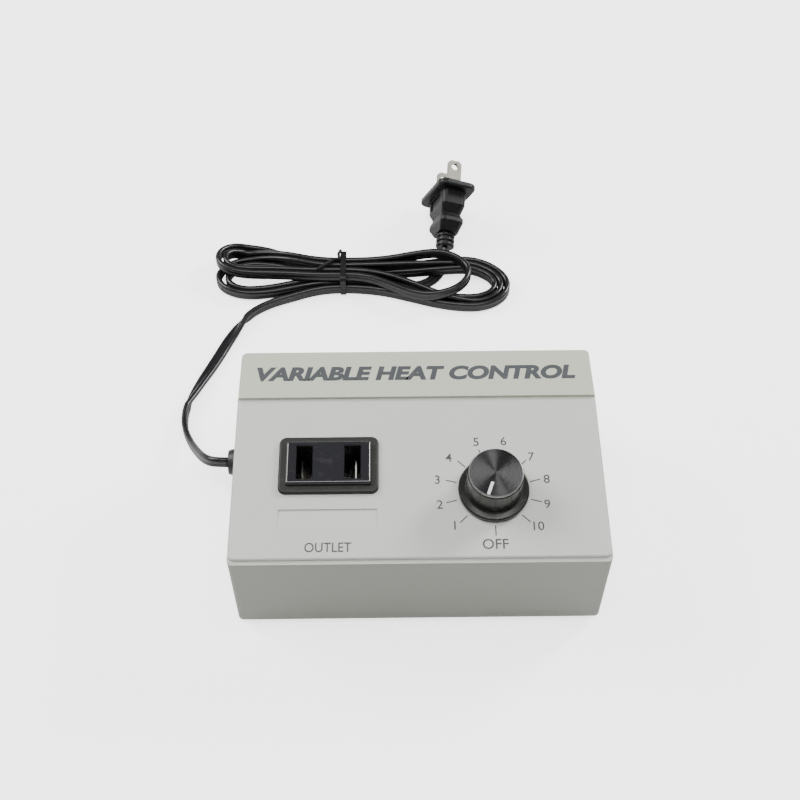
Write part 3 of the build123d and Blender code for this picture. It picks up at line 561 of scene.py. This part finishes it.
numeral_places = [
    (12.1, 12.9),
    (7.3, 20.7),
    (6.7, 30.1),
    (10.8, 38.6),
    (20.5, 44.7),
    (30.0, 44.9),
    (39.2, 38.7),
    (43.9, 30.0),
    (43.4, 20.5),
    (40.0, 12.4),
]
numerals = bmesh.new()
for number, (x, v) in enumerate(numeral_places, start=1):
    add_word(numerals, str(number), on_panel(x - 0.3, v), 3.3, weight=0.008)
add_word(numerals, "OFF", on_panel(25.0, 6.0), 3.7, width=8.6, weight=0.008)
printed_piece("dial_numbers", numerals, dial_ink)


def ring_of_bars():
    """A Geometry Nodes tree: bars that point at a centre, at even angles round part of a ring, clockwise."""
    tree = bpy.data.node_groups.new("ring_of_bars", "GeometryNodeTree")
    for label, kind, value in (
        ("Count", "NodeSocketInt", 10),
        ("First Angle", "NodeSocketFloat", 0.0),
        ("Step", "NodeSocketFloat", 0.5),
        ("Radius", "NodeSocketFloat", 0.01),
        ("Bar Size", "NodeSocketVector", (0.004, 0.0005, 0.0001)),
        ("Ink", "NodeSocketMaterial", None),
    ):
        made = tree.interface.new_socket(label, in_out="INPUT", socket_type=kind)
        if value is not None:
            made.default_value = value
    tree.interface.new_socket("Geometry", in_out="OUTPUT", socket_type="NodeSocketGeometry")
    given = tree.nodes.new("NodeGroupInput").outputs

    def maths(operation, a, b):
        made = tree.nodes.new("ShaderNodeMath")
        made.operation = operation
        for socket, value in zip(made.inputs, (a, b)):
            if isinstance(value, (int, float)):
                socket.default_value = value
            else:
                tree.links.new(value, socket)
        return made.outputs["Value"]

    index = tree.nodes.new("GeometryNodeInputIndex").outputs["Index"]
    turn = maths("SUBTRACT", maths("MULTIPLY", index, given["Step"]), given["First Angle"])
    angle = maths("MULTIPLY", turn, -1.0)
    place = tree.nodes.new("ShaderNodeCombineXYZ")
    tree.links.new(maths("MULTIPLY", maths("COSINE", angle, 0.0), given["Radius"]), place.inputs["X"])
    tree.links.new(maths("MULTIPLY", maths("SINE", angle, 0.0), given["Radius"]), place.inputs["Y"])
    line = tree.nodes.new("GeometryNodeMeshLine")
    tree.links.new(given["Count"], line.inputs["Count"])
    line.inputs["Offset"].default_value = (0, 0, 0)
    moved = tree.nodes.new("GeometryNodeSetPosition")
    tree.links.new(line.outputs["Mesh"], moved.inputs["Geometry"])
    tree.links.new(place.outputs["Vector"], moved.inputs["Position"])
    bar = tree.nodes.new("GeometryNodeMeshCube")
    tree.links.new(given["Bar Size"], bar.inputs["Size"])
    spin = tree.nodes.new("ShaderNodeCombineXYZ")
    tree.links.new(angle, spin.inputs["Z"])
    bars = tree.nodes.new("GeometryNodeInstanceOnPoints")
    tree.links.new(moved.outputs["Geometry"], bars.inputs["Points"])
    tree.links.new(bar.outputs["Mesh"], bars.inputs["Instance"])
    tree.links.new(spin.outputs["Vector"], bars.inputs["Rotation"])
    real = tree.nodes.new("GeometryNodeRealizeInstances")
    tree.links.new(bars.outputs["Instances"], real.inputs["Geometry"])
    inked = tree.nodes.new("GeometryNodeSetMaterial")
    tree.links.new(real.outputs["Geometry"], inked.inputs["Geometry"])
    tree.links.new(given["Ink"], inked.inputs["Material"])
    tree.links.new(inked.outputs["Geometry"], tree.nodes.new("NodeGroupOutput").inputs["Geometry"])
    return tree


def plain_mesh(name, tree, values):
    """Runs a Geometry Nodes tree with named values and returns its result as a plain mesh object."""
    carrier = bpy.data.objects.new(name, bpy.data.meshes.new(name + "_start"))
    bpy.context.scene.collection.objects.link(carrier)
    maker = carrier.modifiers.new("maker", "NODES")
    maker.node_group = tree
    for item in tree.interface.items_tree:
        if item.in_out == "INPUT" and item.name in values:
            maker[item.identifier] = values[item.name]
    bpy.context.view_layer.update()
    mesh = bpy.data.meshes.new_from_object(carrier.evaluated_get(bpy.context.evaluated_depsgraph_get()))
    carrier.modifiers.remove(maker)
    bpy.data.objects.remove(carrier)
    mesh.name = name
    piece = bpy.data.objects.new(name, mesh)
    bpy.context.scene.collection.objects.link(piece)
    return piece


bars_tree = ring_of_bars()
tick_inner, tick_outer, tick_width = 12.9 * mm, 16.6 * mm, 0.42 * mm
off_angle, one_angle = radians(-90), radians(-135)
for name, count, first in (("dial_ticks", 10, one_angle), ("off_tick", 1, off_angle)):
    ticks = plain_mesh(
        name,
        bars_tree,
        {
            "Count": count,
            "First Angle": first,
            "Step": radians(30),
            "Radius": (tick_inner + tick_outer) / 2,
            "Bar Size": (tick_outer - tick_inner, tick_width, ink_top - ink_root),
            "Ink": dial_ink,
        },
    )
    ticks.data.transform(on_panel(dial_x, dial_v) @ Matrix.Translation((0, 0, (ink_top + ink_root) / 2)))
    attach(ticks, "case")


# ---- Outlet ------------------------------------------------------------------------------------------------
# A black phenolic insert that snaps into the panel: a matt bezel, a polished face with two windows, plated leaf
# contacts behind them and a cover over its rear.
dress(moulded("outlet_bezel", (0.014, 0.015, 0.012), 0.5, grain=3600.0, depth=0.014, specular=0.4), "outlet_body")
dress(moulded("outlet_rear", (0.03, 0.03, 0.03), 0.5), "outlet_rear_cover")
dress(moulded("outlet_gloss", (0.016, 0.016, 0.019), 0.13, grain=700.0, depth=0.006, coat=0.5), "outlet_face")
dress(bare_metal("contact_plate", (0.86, 0.84, 0.78), 0.2, depth=0.002), "outlet_contact_left", "outlet_contact_right")


# ---- Knob --------------------------------------------------------------------------------------------------
# A skirted knob in glossy black plastic with a brass bush and a set screw, and a spun cap of black anodised
# aluminium with a bright-cut edge and a white line. The cap's turning marks run round its centre.
dress(moulded("knob_plastic", (0.014, 0.0145, 0.012), 0.24, grain=1500.0, depth=0.006), "knob_body")
dress(bare_metal("knob_brass", (0.72, 0.55, 0.27), 0.3), "knob_bush")
dress(moulded("pointer_paint", (0.86, 0.86, 0.84), 0.45, tone=0.01), "knob_pointer")

dial_centre = on_panel(dial_x, dial_v) @ Vector((0, 0, 0))
bright_edge = 8.75 * mm


def spun_anodised(name, dark, bright, roughness):
    """Spun metal about the dial's axis: its reflections fan out from the centre, and its cut edge is bright."""
    material = bpy.data.materials.new(name)
    material.use_nodes = True
    tree = material.node_tree
    shader = tree.nodes["Principled BSDF"]
    shader.inputs["Metallic"].default_value = 1.0
    shader.inputs["Anisotropic"].default_value = 0.9
    places = tree.nodes.new("ShaderNodeTexCoord").outputs["Object"]

    def vector_maths(operation, a, b):
        made = tree.nodes.new("ShaderNodeVectorMath")
        made.operation = operation
        for socket, value in zip(made.inputs, (a, b)):
            if isinstance(value, Vector):
                socket.default_value = value
            elif value is not None:
                tree.links.new(value, socket)
        return made.outputs

    arm = vector_maths("SUBTRACT", places, dial_centre)["Vector"]
    across = vector_maths("CROSS_PRODUCT", arm, panel_normal)["Vector"]
    tree.links.new(vector_maths("NORMALIZE", across, None)["Vector"], shader.inputs["Tangent"])
    radius = vector_maths("LENGTH", across, None)["Value"]
    edge = spread(tree, radius, bright_edge, bright_edge + 0.04 * mm)
    rings = tree.nodes.new("ShaderNodeTexNoise")
    rings.noise_dimensions = "1D"
    rings.inputs["Scale"].default_value = 9000.0
    rings.inputs["Detail"].default_value = 3.0
    tree.links.new(radius, rings.inputs["W"])
    ringed = two_tones(tree, spread(tree, rings.outputs["Fac"], 0.35, 0.65), shade(dark, 0.75), shade(dark, 1.25))
    tree.links.new(two_tones(tree, edge, ringed, bright), shader.inputs["Base Color"])
    tree.links.new(spread(tree, rings.outputs["Fac"], 0.3, 0.7, roughness * 0.85, roughness * 1.2), shader.inputs["Roughness"])
    return material


dress(spun_anodised("dark_aluminium", (0.1, 0.1, 0.102), (0.85, 0.85, 0.84), 0.28), "knob_cap")


# ---- Rotary control ----------------------------------------------------------------------------------------
# Behind the panel: a die-cast bushing held by a washer and a nut, a steel shaft in it, and a can over a carbon
# track with its wiper and tags, with the snap switch's phenolic housing at the bottom.
plated_steel = bare_metal("plated_steel", (0.6, 0.6, 0.57), 0.32)
dress(plated_steel, "control_washer", "control_nut", "control_can", "control_shaft", "control_tags")
dress(bare_metal("bushing_alloy", (0.58, 0.57, 0.54), 0.42, depth=0.008), "control_bushing", "control_wiper")
dress(moulded("switch_phenolic", (0.07, 0.032, 0.016), 0.45, grain=1800.0, tone=0.2), "switch_housing")


# ---- Feet, screws and cord bushing -------------------------------------------------------------------------
# Four rubber feet pressed into the base beside four plated screws, and a black nylon bushing that grips the cord
# where it passes through the left wall, with a clamp inside.
dress(moulded("foot_rubber", (0.02, 0.02, 0.02), 0.75, grain=2600.0, depth=0.03, tone=0.15), "rubber_feet")
dress(plated_steel, "case_screws", "board_screws", "heat_sink_screw", "knob_set_screw")
dress(moulded("bushing_nylon", (0.018, 0.018, 0.018), 0.4, grain=2400.0, depth=0.01), "cord_bushing", "cord_clamp")


# ---- Circuit board -----------------------------------------------------------------------------------------
# A brown paper laminate board with the triac on its aluminium heat sink, a choke of enamelled copper on an iron
# powder ring, two film capacitors, three resistors, a diac, and the wires to the outlet and the control.
dress(moulded("board_laminate", (0.25, 0.14, 0.055), 0.55, grain=900.0, tone=0.15), "circuit_board", "control_track")
dress(moulded("triac_epoxy", (0.02, 0.02, 0.021), 0.5), "triac")
dress(bare_metal("mill_aluminium", (0.75, 0.75, 0.76), 0.4, depth=0.01), "heat_sink")
dress(moulded("iron_powder", (0.42, 0.36, 0.06), 0.45, tone=0.1), "choke_core")
dress(bare_metal("copper_wire", (0.68, 0.24, 0.1), 0.3, line_scale=900.0, depth=0.08), "choke_winding")
dress(moulded("film_capacitor", (0.45, 0.14, 0.02), 0.25, tone=0.1), "filter_capacitor", "timing_capacitor")
dress(moulded("resistor_coat", (0.55, 0.4, 0.22), 0.45, tone=0.15), "resistors")
dress(moulded("diac_glass", (0.3, 0.12, 0.07), 0.2, tone=0.2), "diac")
dress(moulded("wire_black", (0.02, 0.02, 0.02), 0.4), "wire_live", "wire_load")
dress(moulded("wire_white", (0.7, 0.7, 0.67), 0.4), "wire_neutral")
dress(moulded("wire_grey", (0.25, 0.25, 0.25), 0.4), "wire_control")
